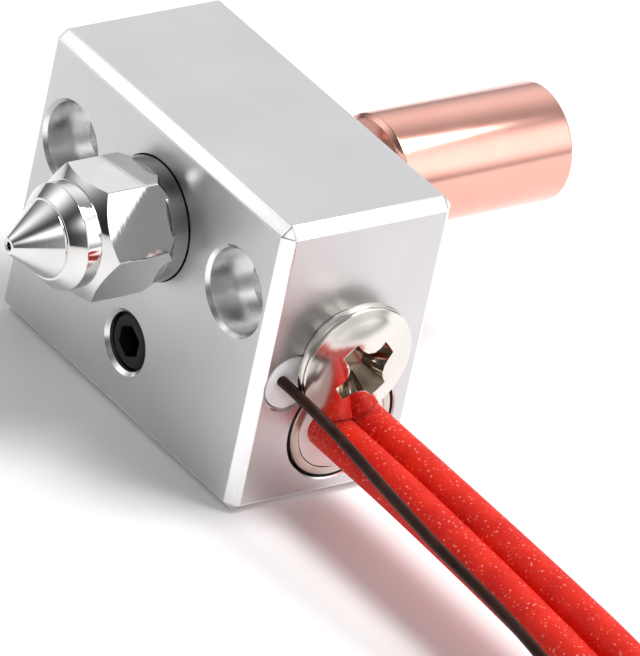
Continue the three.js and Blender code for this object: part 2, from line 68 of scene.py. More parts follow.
HEAD_TOP = -12.14
HEX_CORNER = 3.42  # from the nozzle's axis to a corner of its hexagon
HEX_TURN = 56  # degrees round +X from +Y to that corner
FINE = 128  # sides of a round shape near the camera
COARSE = 64

# the free wires, the same routes as the CAD tubes
LEAD_RADIUS = 1.055
LEAD_COIL_Y = -59.3
LEAD_COIL_LEVELS = (1.48, 3.64)  # heights of the coil's lower and upper turn
LEAD_COIL_RADIUS = 10.6
LEAD_HOOK = 4.6
LEAD_RUN_OUT = 5
FERRULE_Z = 1.37
LEFT_ROUTE = [
    (-0.25, -9.8, 4.27), (-0.25, -10.3, 4.27), (-0.25, -11.5, 4.27), (-0.25, -13, 4.27),
    (-0.25, -15.5, 4.26), (-0.27, -18.5, 4.22), (-0.3, -21.5, 4.16), (-0.34, -24.5, 4.08),
    (-0.4, -27.5, 3.98), (-0.45, -30.5, 3.84), (-0.48, -33.5, 3.58), (-0.47, -36.5, 3.15),
    (-0.44, -39.5, 2.55), (-0.39, -42.5, 1.9), (-0.33, -45.5, 1.35), (-0.28, -48.5, 1.1),
    (-0.25, -52, 1.06), (-0.25, -54.5, 1.14), (-0.25, -57, 1.36),
]
RIGHT_ROUTE = [
    (1.87, -9.8, 4.32), (1.87, -10.3, 4.32), (1.87, -11.5, 4.32), (1.87, -13, 4.32),
    (1.87, -15.5, 4.32), (1.87, -18.5, 4.31), (1.87, -21.5, 4.29), (1.87, -24.5, 4.26),
    (1.87, -27.5, 4.2), (1.87, -30.5, 4.1), (1.87, -33.5, 3.88), (1.87, -36.5, 3.45),
    (1.87, -39.5, 2.8), (1.87, -42.5, 2.05), (1.87, -45.5, 1.4), (1.87, -48.5, 1.12),
    (1.87, -52, 1.06), (1.87, -54.5, 1.14), (1.87, -57, 1.36),
]
SENSOR_RADIUS = 0.275
SENSOR_COIL = (-6.8, -43)
SENSOR_COIL_OUTER = 4.2
SENSOR_COIL_STEP = 0.6
SENSOR_COIL_LOW = 0.55
SENSOR_COIL_HIGH = 1.12
SENSOR_COIL_TURNS = (4, 4.3)  # inwards on the surface, then outwards on top
SENSOR_TAIL = ((2.8, 0.6), (4.5, 0.35), (6.3, 0.8), (8.5, 1.8))  # run, height
SENSOR_ROUTE = [
    (-3.55, -9.8, 7.45), (-3.55, -10.3, 7.45), (-3.5, -11, 7.4), (-3.3, -12.5, 7.15),
    (-3.05, -14.8, 6.72), (-2.98, -17.6, 6.28), (-2.98, -20.2, 5.98), (-2.85, -22.5, 5.62),
    (-2.62, -24.9, 5.27), (-2.46, -27.4, 4.94), (-2.48, -30, 4.64), (-2.5, -32.4, 4.2),
    (-2.5, -34.6, 3.5), (-2.52, -36.6, 2.55), (-2.55, -38.4, 1.6), (-2.58, -40, 0.9),
    (-2.6, -41.5, 0.6),
]

# the camera: where it stands, its axes, and its lens
CAMERA_PLACE = (-318.04, -360.57, 285.11)
CAMERA_RIGHT = (0.79811, -0.57255, 0.18761)
CAMERA_UP = (0.16782, 0.51030, 0.84345)
CAMERA_BACK = (-0.57866, -0.64170, 0.50337)
CAMERA_LENS = 630.9


def row(point):
    """A point in millimetres, as one in the row frame in metres."""
    return (Vector(point) - MIDDLE) * MM


# ---- camera ----


def make_camera():
    data = bpy.data.cameras.new("camera")
    data.lens = CAMERA_LENS
    data.sensor_width = 36
    data.clip_start = 0.02
    camera = bpy.data.objects.new("camera", data)
    bpy.context.collection.objects.link(camera)
    turn = Matrix((CAMERA_RIGHT, CAMERA_UP, CAMERA_BACK)).transposed()
    camera.matrix_world = Matrix.Translation(row(CAMERA_PLACE)) @ turn.to_4x4()
    bpy.context.scene.camera = camera


# ---- shapes ----


def new_object(name, bm):
    """An object from a shape in millimetres."""
    bmesh.ops.recalc_face_normals(bm, faces=bm.faces)
    mesh = bpy.data.meshes.new(name)
    bm.to_mesh(mesh)
    bm.free()
    obj = bpy.data.objects.new(name, mesh)
    bpy.context.collection.objects.link(obj)
    return obj


def into_row_frame(obj, sharp):
    """Millimetres to metres in the row frame, smooth but crisp at edges sharper than that many degrees."""
    mesh = obj.data
    mesh.transform(Matrix.Translation(-MIDDLE))
    mesh.transform(Matrix.Scale(MM, 4))
    mesh.shade_smooth()
    mesh.set_sharp_from_angle(angle=math.radians(sharp))


def finish_piece(obj, material, body, slot, *nodes, sharp=35):
    """Gives a shape its material and body, and hides the CAD nodes that it stands for."""
    into_row_frame(obj, sharp)
    obj.data.materials.clear()
    obj.data.materials.append(material)
    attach(obj, body)
    if nodes:
        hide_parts(*nodes)
    return obj


def rounded(outline, radius, steps=3):
    """An outline of (radius, along) points with each inner corner turned into an arc."""
    points = [Vector(p) for p in outline]
    result = [points[0]]
    for before, corner, after in zip(points, points[1:], points[2:]):
        to_before = before - corner
        to_after = after - corner
        reach = min(radius, to_before.length * 0.45, to_after.length * 0.45)
        start = corner + to_before.normalized() * reach
        end = corner + to_after.normalized() * reach
        for i in range(steps + 1):
            t = i / steps
            result.append(start.lerp(corner, t).lerp(corner.lerp(end, t), t))
    result.append(points[-1])
    return result


AXES = {
    "x": lambda r, a, s, c: (a, r * c, r * s),
    "y": lambda r, a, s, c: (r * c, a, r * s),
    "z": lambda r, a, s, c: (r * c, r * s, a),
}


def lathe(outline, axis, centre=(0, 0, 0), sides=FINE):
    """A shape turned about an axis through the centre, from (radius, along) points."""
    bm = bmesh.new()
    place = AXES[axis]
    rings = []
    for radius, along in outline:
        count = 1 if radius < 1e-6 else sides
        turns = [2 * math.pi * i / sides for i in range(count)]
        rings.append([
            bm.verts.new(Vector(place(radius, along, math.sin(t), math.cos(t))) + Vector(centre))
            for t in turns
        ])
    for low, high in zip(rings, rings[1:]):
        for i in range(sides):
            j = (i + 1) % sides
            corners = [low[i % len(low)], low[j % len(low)], high[j % len(high)], high[i % len(high)]]
            unique = list(dict.fromkeys(corners))
            if len(unique) > 2:
                bm.faces.new(unique)
    return bm


def chamfered_box(size, centre, chamfer):
    bm = bmesh.new()
    bmesh.ops.create_cube(bm, size=1)
    bmesh.ops.scale(bm, vec=size, verts=bm.verts)
    bmesh.ops.translate(bm, vec=centre, verts=bm.verts)
    bmesh.ops.bevel(bm, geom=bm.edges[:], offset=chamfer, segments=1, profile=0.5, affect="EDGES")
    return bm


def combine(obj, tools, operation):
    """Cuts, joins or crosses obj with each tool by an exact boolean."""
    for tool in tools:
        other = new_object("tool", tool)
        modifier = obj.modifiers.new("boolean", "BOOLEAN")
        modifier.operation = operation
        modifier.solver = "EXACT"
        modifier.object = other
        apply_modifiers(obj)
        bpy.data.objects.remove(other)
    return obj


def soft_edges(obj, width):
    modifier = obj.modifiers.new("soft edges", "BEVEL")
    modifier.width = width
    modifier.segments = 2
    modifier.limit_method = "ANGLE"
    modifier.angle_limit = math.radians(35)
    return apply_modifiers(obj)


def apply_modifiers(obj):
    graph = bpy.context.evaluated_depsgraph_get()
    mesh = bpy.data.meshes.new_from_object(obj.evaluated_get(graph))
    obj.modifiers.clear()
    old = obj.data
    obj.data = mesh
    bpy.data.meshes.remove(old)
    return obj


def flat_face(face, middle, normals, distance):
    """Whether a face lies on one of the planes that far from the middle; if so it is shaded flat."""
    for normal in normals:
        along = normal.dot(face.center - middle) / MM
        if face.normal.dot(normal) > 0.999 and abs(along - distance) < 0.02:
            face.use_smooth = False
            return True
    return False


class Look:
    """A node material, built a node at a time."""

    def __init__(self, name):
        self.material = bpy.data.materials.new(name)
        self.material.use_nodes = True
        self.tree = self.material.node_tree
        self.shader = self.tree.nodes["Principled BSDF"]
        self.place = self.tree.nodes.new("ShaderNodeTexCoord").outputs["Object"]

    def node(self, kind, **settings):
        node = self.tree.nodes.new(kind)
        for key, value in settings.items():
            setattr(node, key, value)
        return node

    def link(self, output, node, socket):
        self.tree.links.new(output, node.inputs[socket])

    def set(self, **values):
        for key, value in values.items():
            self.shader.inputs[key.replace("_", " ")].default_value = value

    def stretched(self, scale):
        mapping = self.node("ShaderNodeMapping")
        mapping.inputs["Scale"].default_value = scale
        self.link(self.place, mapping, "Vector")
        return mapping.outputs["Vector"]

    def noise(self, size_mm, detail=3, rough=0.5, scale=(1, 1, 1)):
        """Noise whose features are about size_mm across, drawn out where scale is small."""
        noise = self.node("ShaderNodeTexNoise")
        noise.inputs["Scale"].default_value = 1 / (size_mm * MM)
        noise.inputs["Detail"].default_value = detail
        noise.inputs["Roughness"].default_value = rough
        self.link(self.stretched(scale), noise, "Vector")
        return noise.outputs["Fac"]

    def ramp(self, value, stops):
        ramp = self.node("ShaderNodeValToRGB")
        while len(ramp.color_ramp.elements) < len(stops):
            ramp.color_ramp.elements.new(0.5)
        for element, (at, colour) in zip(ramp.color_ramp.elements, stops):
            element.position = at
            element.color = (*colour, 1) if len(colour) == 3 else colour
        self.link(value, ramp, "Fac")
        return ramp.outputs["Color"]

    def spread(self, value, low, high):
        span = self.node("ShaderNodeMapRange")
        span.inputs["To Min"].default_value = low
        span.inputs["To Max"].default_value = high
        self.link(value, span, "Value")
        return span.outputs["Result"]

    def bump(self, value, depth_mm, strength=1.0, under=None):
        bump = self.node("ShaderNodeBump")
        bump.inputs["Distance"].default_value = depth_mm * MM
        bump.inputs["Strength"].default_value = strength
        self.link(value, bump, "Height")
        if under is not None:
            self.link(under, bump, "Normal")
        return bump.outputs["Normal"]

    def wear(self, colour, normal=None, rough=None):
        if colour is not None:
            self.link(colour, self.shader, "Base Color")
        if normal is not None:
            self.link(normal, self.shader, "Normal")
        if rough is not None:
            self.link(rough, self.shader, "Roughness")
        return self.material


def aluminium():
    look = Look("machined_aluminium")
    look.set(Metallic=1.0)
    cloud = look.noise(6, 2)
    grain = look.noise(0.09, 2)
    lines = look.noise(0.12, 2, scale=(1, 1, 0.04))
    colour = look.ramp(cloud, [(0.3, (0.62, 0.62, 0.63)), (0.7, (0.67, 0.67, 0.675))])
    rough = look.spread(grain, 0.38, 0.47)
    normal = look.bump(grain, 0.004, 0.35)
    normal = look.bump(lines, 0.003, 0.25, under=normal)
    return look.wear(colour, normal, rough)


def cut_aluminium():
    look = Look("bright_cut_aluminium")
    look.set(Metallic=1.0)
    cloud = look.noise(2, 2)
    colour = look.ramp(cloud, [(0.3, (0.90, 0.90, 0.91)), (0.7, (0.94, 0.94, 0.945))])
    lines = look.noise(0.1, 2, scale=(1, 0.05, 0.05))
    normal = look.bump(lines, 0.006, 0.4)
    normal = look.bump(look.noise(0.7, 2), 0.02, 0.3, under=normal)
    return look.wear(colour, normal, look.spread(cloud, 0.2, 0.32))


def nickel():
    look = Look("bright_nickel")
    look.set(Metallic=1.0)
    cloud = look.noise(1.5, 3)
    tint = (0.78, 0.74, 0.69)
    darker = tuple(0.92 * c for c in tint)
    colour = look.ramp(cloud, [(0.25, darker), (0.75, tint)])
    ripple = look.noise(0.8, 2)
    normal = look.bump(ripple, 0.012, 0.3)
    return look.wear(colour, normal, look.spread(cloud, 0.112, 0.182))


def turned_nickel():
    look = Look("turned_nickel")
    look.set(Metallic=1.0)
    cloud = look.noise(2, 3)
    colour = look.ramp(cloud, [(0.25, (0.70, 0.69, 0.68)), (0.75, (0.80, 0.79, 0.78))])
    rings = look.noise(0.14, 2, scale=(1, 0.03, 0.03))
    normal = look.bump(rings, 0.006, 0.3)
    return look.wear(colour, normal, look.spread(cloud, 0.05, 0.09))


def copper():
    look = Look("polished_copper")
    look.set(Metallic=1.0)
    cloud = look.noise(4, 3)
    colour = look.ramp(cloud, [(0.25, (0.78, 0.40, 0.33)), (0.75, (0.85, 0.46, 0.385))])
    rings = look.noise(0.1, 2, scale=(1, 0.03, 0.03))
    scratches = look.noise(0.12, 2, scale=(0.05, 1, 1))
    normal = look.bump(rings, 0.003, 0.25)
    normal = look.bump(scratches, 0.002, 0.15, under=normal)
    return look.wear(colour, normal, look.spread(cloud, 0.14, 0.2))


def steel(name, tint, rough):
    look = Look(name)
    look.set(Metallic=1.0)
    cloud = look.noise(1.2, 4)
    colour = look.ramp(cloud, [(0.3, tuple(0.75 * c for c in tint)), (0.7, tint)])
    normal = look.bump(look.noise(0.08, 3), 0.008, 0.4)
    return look.wear(colour, normal, look.spread(cloud, rough * 0.85, rough * 1.2))


def cement(name, light, dark, grain_mm):
    look = Look(name)
    look.set(Specular_IOR_Level=0.35)
    cloud = look.noise(0.9, 4)
    colour = look.ramp(cloud, [(0.3, dark), (0.65, light)])
    grain = look.noise(grain_mm, 4, 0.6)
    normal = look.bump(grain, 0.05, 0.5)
    return look.wear(colour, normal, look.spread(grain, 0.45, 0.75))


def red_silicone():
    look = Look("red_silicone")
    look.set(Specular_IOR_Level=0.22)
    cloud = look.noise(1.4, 3)
    weave = look.noise(0.16, 3, 0.6)
    specks = look.node("ShaderNodeTexVoronoi")
    specks.inputs["Scale"].default_value = 1 / (0.24 * MM)
    look.link(look.place, specks, "Vector")
    near = look.ramp(specks.outputs["Distance"], [(0.12, (1, 1, 1)), (0.32, (0, 0, 0))])
    which = look.ramp(look.noise(0.32, 2), [(0.4, (0, 0, 0)), (0.62, (0.85, 0.85, 0.85))])
    spot = look.node("ShaderNodeMath", operation="MULTIPLY")
    look.link(near, spot, 0)
    look.link(which, spot, 1)
    base = look.ramp(cloud, [(0.3, (0.60, 0.008, 0.002)), (0.7, (0.76, 0.019, 0.005))])
    along = look.node("ShaderNodeSeparateXYZ")
    look.link(look.place, along, "Vector")
    start = look.node("ShaderNodeMapRange")
    start.inputs["From Min"].default_value = row((0, -12.2, 0)).y
    start.inputs["From Max"].default_value = row((0, -9.6, 0)).y
    look.link(along.outputs["Y"], start, "Value")
    frayed = look.node("ShaderNodeMath", operation="MULTIPLY")
    look.link(start.outputs["Result"], frayed, 0)
    look.link(look.ramp(weave, [(0.45, (0, 0, 0)), (0.7, (0.6, 0.6, 0.6))]), frayed, 1)
    pale = look.node("ShaderNodeMath", operation="MAXIMUM")
    look.link(spot.outputs[0], pale, 0)
    look.link(frayed.outputs[0], pale, 1)
    mix = look.node("ShaderNodeMix", data_type="RGBA")
    mix.inputs["B"].default_value = (0.98, 0.32, 0.25, 1)
    look.link(pale.outputs[0], mix, "Factor")
    look.link(base, mix, "A")
    normal = look.bump(weave, 0.06, 0.55)
    normal = look.bump(spot.outputs[0], 0.03, 0.4, under=normal)
    return look.wear(mix.outputs["Result"], normal, look.spread(weave, 0.38, 0.62))


def brown_sleeve():
    look = Look("brown_sleeve")
    look.set(Specular_IOR_Level=0.16)
    cloud = look.noise(0.7, 3)
    colour = look.ramp(cloud, [(0.3, (0.016, 0.005, 0.003)), (0.7, (0.038, 0.013, 0.008))])
    normal = look.bump(look.noise(0.12, 2), 0.02, 0.3)
    return look.wear(colour, normal, look.spread(cloud, 0.3, 0.45))


def moulded(name, light, dark, rough):
    look = Look(name)
    cloud = look.noise(3, 2)
    colour = look.ramp(cloud, [(0.3, dark), (0.7, light)])
    normal = look.bump(look.noise(0.1, 2), 0.01, 0.4)
    return look.wear(colour, normal, look.spread(cloud, rough * 0.9, rough * 1.1))


def amber_glass():
    look = Look("amber_glass")
    look.set(Transmission_Weight=0.7, IOR=1.52)
    cloud = look.noise(0.5, 2)
    colour = look.ramp(cloud, [(0.3, (0.55, 0.30, 0.12)), (0.7, (0.75, 0.48, 0.22))])
    return look.wear(colour, None, look.spread(cloud, 0.05, 0.12))


LOOKS = {
    "aluminium": aluminium(),
    "cut_aluminium": cut_aluminium(),
    "nickel": nickel(),
    # painted shade: the inside of the cross recess gets a darker nickel than the head, for the shade that
    # falls in it; the real plating is the same
    "recess": steel("painted_shade_recess", (0.24, 0.19, 0.14), 0.2),
    "nozzle": turned_nickel(),
    # painted dark reflection: the collar gets a darker nickel than the rest of the nozzle; the real plating
    # is the same
    "collar": steel("painted_reflection_collar", (0.34, 0.335, 0.33), 0.14),
    "copper": copper(),
    "stainless": steel("drawn_stainless", (0.66, 0.60, 0.53), 0.34),
    "black_steel": steel("black_oxide_steel", (0.035, 0.035, 0.04), 0.38),
    "tinned_copper": steel("tinned_copper", (0.75, 0.75, 0.73), 0.3),
    "resistance_wire": steel("resistance_wire", (0.42, 0.40, 0.38), 0.4),
    "ceramic": cement("fired_ceramic", (0.86, 0.80, 0.77), (0.78, 0.70, 0.67), 0.2),
    "potting": cement("white_cement", (0.95, 0.94, 0.94), (0.88, 0.86, 0.87), 0.25),
    "pink_potting": cement("pink_cement", (0.97, 0.89, 0.88), (0.94, 0.80, 0.79), 0.22),
    "glass": amber_glass(),
    "red_silicone": red_silicone(),
    "brown_sleeve": brown_sleeve(),
    "tie_band": moulded("tie_band", (0.03, 0.03, 0.035), (0.018, 0.018, 0.02), 0.6),
    "white_nylon": moulded("white_nylon", (0.86, 0.84, 0.79), (0.80, 0.78, 0.72), 0.5),
    "red_nylon": moulded("red_nylon", (0.50, 0.03, 0.02), (0.42, 0.02, 0.015), 0.4),
}


# ---- heater block ----


def hole(radius, mouth_radius, mouth_depth, mouth, end, axis, centre, sides=FINE):
    """A cutter for a blind hole with a chamfered mouth at `mouth`."""
    inward = 1 if end > mouth else -1
    outline = [
        (0, mouth - inward), (mouth_radius, mouth - inward), (mouth_radius, mouth),
        (radius, mouth + inward * mouth_depth), (radius, end), (0, end),
    ]
    return lathe(outline, axis, centre, sides)


def heater_block():
    bm = chamfered_box(BLOCK, (0, 0, BLOCK.z / 2), CHAMFER)
    bmesh.ops.bevel(bm, geom=bm.edges[:], offset=0.045, segments=2, profile=0.5, affect="EDGES")
    block = new_object("heater_block_fine", bm)
    past = 1
    cutters = [hole(3, 3.15, 0.15, FACE_NOZZLE, -FACE_NOZZLE + past, "x", (0, 0, AXIS_Z))]
    for side in (-1, 1):
        centre = (0, side * LONG_SCREW_Y, AXIS_Z)
        through = -FACE_NOZZLE + past
        small = LONG_SCREW_HOLE
        cutters.append(hole(LONG_SCREW_HEAD_HOLE, 2.3, 0.18, FACE_NOZZLE, FACE_NOZZLE + 2.2, "x", centre))
        cutters.append(hole(small, small, 0.1, FACE_NOZZLE, through, "x", centre, COARSE))
        cutters.append(hole(small, 1.6, 0.18, -FACE_NOZZLE, FACE_NOZZLE, "x", centre, COARSE))
    cutters.append(hole(1.5, 1.69, 0.19, FACE_NOZZLE, HEATER[0], "x", (0, 0, GRUB_Z)))
    heater = (HEATER[0], 0, HEATER[1])
    cutters.append(hole(HEATER_BORE, 3.17, 0.07, FACE_WIRES, -FACE_WIRES + past, "y", heater))
    thermistor = (THERMISTOR[0], 0, THERMISTOR[1])
    cutters.append(hole(THERMISTOR_BORE, 1.6, 0.13, FACE_WIRES, -3.5, "y", thermistor))
    clamp = (CLAMP[0], 0, CLAMP[1])
    cutters.append(hole(CLAMP_HOLE, CLAMP_HOLE, 0.1, FACE_WIRES, -7.95, "y", clamp, COARSE))
    combine(block, cutters, "DIFFERENCE")
    finish_piece(block, LOOKS["aluminium"], "block", "aluminium", "heater_block", sharp=20)
    block.data.materials.append(LOOKS["cut_aluminium"])
    middle = row((0, 0, BLOCK.z / 2))
    for face in block.data.polygons:
        face.material_index = 1
        for axis in range(3):
            outward = Vector(1 if i == axis else 0 for i in range(3))
            if flat_face(face, middle, (outward, -outward), BLOCK[axis] / 2):
                face.material_index = 0


# ---- nozzle and heat break ----


def hex_prism(corner_radius, start, end, centre, corner_angle, soft):
    bm = bmesh.new()
    rings = []
    for along in (start, end):
        turns = [math.radians(corner_angle + 60 * i) for i in range(6)]
        corners = [Vector((along, corner_radius * math.cos(t), corner_radius * math.sin(t))) for t in turns]
        rings.append([bm.verts.new(corner + Vector(centre)) for corner in corners])
    for i in range(6):
        j = (i + 1) % 6
        bm.faces.new((rings[0][i], rings[0][j], rings[1][j], rings[1][i]))
    bm.faces.new(rings[0])
    bm.faces.new(rings[1])
    if soft:
        long_edges = [e for e in bm.edges if abs(e.verts[0].co.x - e.verts[1].co.x) > 1]
        bmesh.ops.bevel(bm, geom=long_edges, offset=soft, segments=3, profile=0.5, affect="EDGES")
    return bm


def hex_turns():
    return [math.radians(HEX_TURN + 30 + 60 * i) for i in range(6)]


def nozzle():
    centre = (0, 0, AXIS_Z)
    hex_envelope = rounded([
        (0, -9.87), (2.62, -9.87), (3.44, -9.3), (3.44, -6.45), (3.1, -5.9), (0, -5.9),
    ], 0.06)
    hexagon = new_object("nozzle_fine", lathe(hex_envelope, "x", centre))
    combine(hexagon, [hex_prism(HEX_CORNER, -10.1, -5.5, centre, HEX_TURN, 0.06)], "INTERSECT")
    body = rounded([
        (0, -13.47), (0.4, -13.47), (1.88, -11.44), (1.88, -11.36), (2.0, -11.36), (2.62, -10.67),
        (2.62, -9.6), (2.4, -9.6),
        (2.4, -6.1), (3.1, -6.1), (3.1, -5.1), (2.92, -5.05), (2.92, 0.45), (0, 0.45),
    ], 0.045)
    combine(hexagon, [lathe(body, "x", centre)], "UNION")
    bore = rounded([
        (0, -14), (0.24, -14), (0.24, -13.44), (0.2, -13.4), (0.2, -12.87), (1, -11.6), (1, 1), (0, 1),
    ], 0.02)
    combine(hexagon, [lathe(bore, "x", centre, COARSE)], "DIFFERENCE")
    finish_piece(hexagon, LOOKS["nozzle"], "nozzle", "nickel", "nozzle", sharp=18)
    # a second, darker nickel for the collar's faces paints their dark reflection
    hexagon.data.materials.append(LOOKS["collar"])
    flats = [Vector((0, math.cos(turn), math.sin(turn))) for turn in hex_turns()]
    collar_from = row((COLLAR_FROM, 0, 0)).x
    for face in hexagon.data.polygons:
        face.material_index = 1 if face.center.x > collar_from else 0
        flat_face(face, row(centre), flats, HEX_CORNER * math.cos(math.pi / 6))


def heat_break():
    centre = (0, 0, AXIS_Z)
    sleeve = rounded([
        (1.66, 8.0), (2.73, 8.0), (2.98, 8.25), (2.98, 18.25), (2.83, 18.4), (1.5, 18.4),
        (1, 17.7), (1, 13.06), (1.66, 13.06), (1.66, 8.0),
    ], 0.04)
    sleeve_piece = new_object("heat_break_sleeve_fine", lathe(sleeve, "x", centre))
    finish_piece(sleeve_piece, LOOKS["copper"], "heat_break", "copper", "heat_break_sleeve")
    tube = rounded([(1, 0.6), (1.6, 0.6), (1.6, 13), (1, 13), (1, 0.6)], 0.03)
    tube_piece = new_object("heat_break_tube_fine", lathe(tube, "x", centre, COARSE))
    finish_piece(tube_piece, LOOKS["stainless"], "heat_break", "stainless", "heat_break_tube")
    pitch = 0.7
    crests = []
    for i in range(6):
        start = 0.7 + i * pitch
        crests += [(2.6, start), (2.92, start + pitch * 0.45), (2.92, start + pitch * 0.55)]
    thread = [(1.66, 0.6), (2.55, 0.6), *crests, (2.6, 4.93), (2.5, 4.95), (1.66, 4.95), (1.66, 0.6)]
    thread_piece = new_object("heat_break_thread_fine", lathe(thread, "x", centre))
    finish_piece(thread_piece, LOOKS["copper"], "heat_break", "copper", "heat_break_thread")


# ---- screws ----


def grub_screw():
    centre = (0, 0, GRUB_Z)
    body = rounded([
        (0, -4.8), (1.2, -4.8), (1.44, -4.6), (1.44, -2.5), (1.2, -2.3), (0, -2.3),
    ], 0.05)
    screw = new_object("grub_screw_fine", lathe(body, "x", centre))
    socket = hex_prism(1.5 / math.sqrt(3), -5.4, -3.6, centre, 30, 0)
    combine(screw, [socket], "DIFFERENCE")
    soft_edges(screw, 0.04)
    return finish_piece(screw, LOOKS["black_steel"], "grub_screw", "black_steel", "grub_screw")


def recess_section(arm, half_width, notch):
    """The cross of a screw's recess, as (x, z) points round its outline."""
    points = []
    for quarter in range(4):
        turn = Matrix.Rotation(math.radians(90 * quarter), 2)
        corner = [(arm, -half_width), (arm, half_width)]
        for degrees in (0, 30, 60, 90):
            bend = math.radians(degrees)
            across = half_width + notch * (1 - math.sin(bend))
            along = half_width + notch * (1 - math.cos(bend))
            corner.append((across, along))
        points += [turn @ Vector(p) for p in corner]
    return points


def cross_recess(top, depth, turn):
    """A cutter for a cross recess that narrows as it deepens along +Y."""
    levels = [
        (top - 0.5, 1.86, 0.52, 0.8), (top + 0.1, 1.78, 0.49, 0.8),
        (top + depth * 0.6, 1.2, 0.4, 0.5), (top + depth, 0.75, 0.3, 0.3),
    ]
    bm = bmesh.new()
    spin = Matrix.Rotation(-math.radians(turn), 3, "Y")
    middle = Vector((CLAMP[0], 0, CLAMP[1]))
    rings = []
    for y, arm, half_width, notch in levels:
        section = recess_section(arm, half_width, notch)
        rings.append([bm.verts.new(spin @ Vector((p.x, y, p.y)) + middle) for p in section])
    for low, high in zip(rings, rings[1:]):
        for i in range(len(low)):
            j = (i + 1) % len(low)
            bm.faces.new((low[i], low[j], high[j], high[i]))
    bm.faces.new(rings[0])
    bm.faces.new(rings[-1])
    return bm


def clamp_screw():
    centre = (CLAMP[0], 0, CLAMP[1])
    steps = 16
    cap_edge = 2.75
    cap_depth = 0.64
    cap = [(cap_edge * i / steps, HEAD_TOP + cap_depth * (i / steps) ** 2) for i in range(steps)]
    rim = rounded([
        (cap_edge, HEAD_TOP + cap_depth), (3.12, HEAD_TOP + cap_depth + 0.13),
        (3.12, WASHER_FROM - 0.03), (1.14, WASHER_FROM - 0.03),
    ], 0.16, 5)
    body = [*cap, *rim, (1.14, -8.3), (1.0, -8.19), (0, -8.19)]
    screw = new_object("clamp_screw_fine", lathe(body, "y", centre))
    combine(screw, [cross_recess(HEAD_TOP, RECESS_DEPTH, RECESS_TURN)], "DIFFERENCE")
    soft_edges(screw, 0.05)
    finish_piece(screw, LOOKS["nickel"], "clamp_screw", "nickel", "clamp_screw")
    # the recess's faces take this second, darker nickel, which paints the shade inside the recess
    screw.data.materials.append(LOOKS["recess"])
    middle = row((CLAMP[0], 0, CLAMP[1]))
    shallow = row((0, HEAD_TOP + 0.3, 0)).y
    deep = row((0, -10.5, 0)).y
    for face in screw.data.polygons:
        off_axis = face.center - middle
        near = math.hypot(off_axis.x, off_axis.z) < RECESS_REACH * MM
        face.material_index = 1 if near and shallow < face.center.y < deep else 0
    washer = rounded([
        (1.6, WASHER_FROM), (3.17, WASHER_FROM), (3.17, -10.83), (1.6, -10.83), (1.6, WASHER_FROM),
    ], 0.07)
    washer_piece = new_object("clamp_washer_fine", lathe(washer, "y", centre))
    finish_piece(washer_piece, LOOKS["nickel"], "clamp_screw", "nickel", "clamp_washer")


# ---- heater cartridge ----


def heater_end():
    centre = (HEATER[0], 0, HEATER[1])
    sheath = rounded([
        (2.5, FACE_WIRES), (SHEATH_RADIUS, FACE_WIRES), (SHEATH_RADIUS, 9.9), (0, 9.9),
    ], 0.08)
    sheath = [*sheath, (0, 9.1), (2.5, 9.1), (2.5, FACE_WIRES)]
    shell = new_object("heater_sheath_fine", lathe(sheath, "y", centre))
    finish_piece(shell, LOOKS["stainless"], "heater", "stainless", "heater_sheath")
    steps = 24
    face = [(0, -7.2), (SEAL_RADIUS, -7.2), (SEAL_RADIUS, FACE_WIRES + 0.06)]
    for i in range(steps):
        share = 1 - i / steps
        face.append((SEAL_RADIUS * share, FACE_WIRES - 0.02 - 0.16 * math.cos(math.pi / 2 * share)))
    face.append((0, FACE_WIRES - 0.18))
    seal = new_object("heater_end_seal_fine", lathe(face, "y", centre))
    ripple(seal, 0.05, 1.1, -9.6)
    finish_piece(seal, LOOKS["pink_potting"], "heater", "potting", "heater_end_seal")


def ripple(obj, depth, size, face_y):
    """Moves the points of a cement face in and out by a smooth wave of that depth."""
    for vertex in obj.data.vertices:
        p = vertex.co
        if p.y < face_y:
            p.y += depth * math.sin(p.x * 4.1 / size + 1.3) * math.cos(p.z * 3.3 / size + 0.4)


def thermistor_end():
    centre = (THERMISTOR[0], 0, THERMISTOR[1])
    steps = 20
    face = [(0, -4.5), (POTTING_RADIUS, -4.5), (POTTING_RADIUS, FACE_WIRES + 0.12)]
    for i in range(steps):
        share = 1 - i / steps
        face.append((POTTING_RADIUS * share, FACE_WIRES + 0.08 - 0.14 * math.cos(math.pi / 2 * share)))
    face.append((0, FACE_WIRES - 0.06))
    potting = new_object("thermistor_potting_fine", lathe(face, "y", centre))
    ripple(potting, 0.03, 0.8, -9.6)
    finish_piece(potting, LOOKS["potting"], "thermistor", "potting", "thermistor_potting")


# ---- free wires ----


def wire(name, points, radius, body, slot, nodes):
    """A round wire whose centreline is one smooth curve through the points."""
    data = bpy.data.curves.new(name, "CURVE")
    data.dimensions = "3D"
    data.bevel_depth = radius * MM
    data.bevel_resolution = 8
    data.resolution_u = 6
    data.use_fill_caps = True
    spline = data.splines.new("BEZIER")
    spline.bezier_points.add(len(points) - 1)
    for knot, point in zip(spline.bezier_points, points):
        knot.co = row(point)
        knot.handle_left_type = "AUTO"
        knot.handle_right_type = "AUTO"
    data.materials.append(LOOKS[slot])
    obj = bpy.data.objects.new(name, data)
    bpy.context.collection.objects.link(obj)
    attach(obj, body)
    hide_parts(*nodes)
    return obj


def smooth_step(t):
    t = min(1, max(0, t))
    return t * t * (3 - 2 * t)


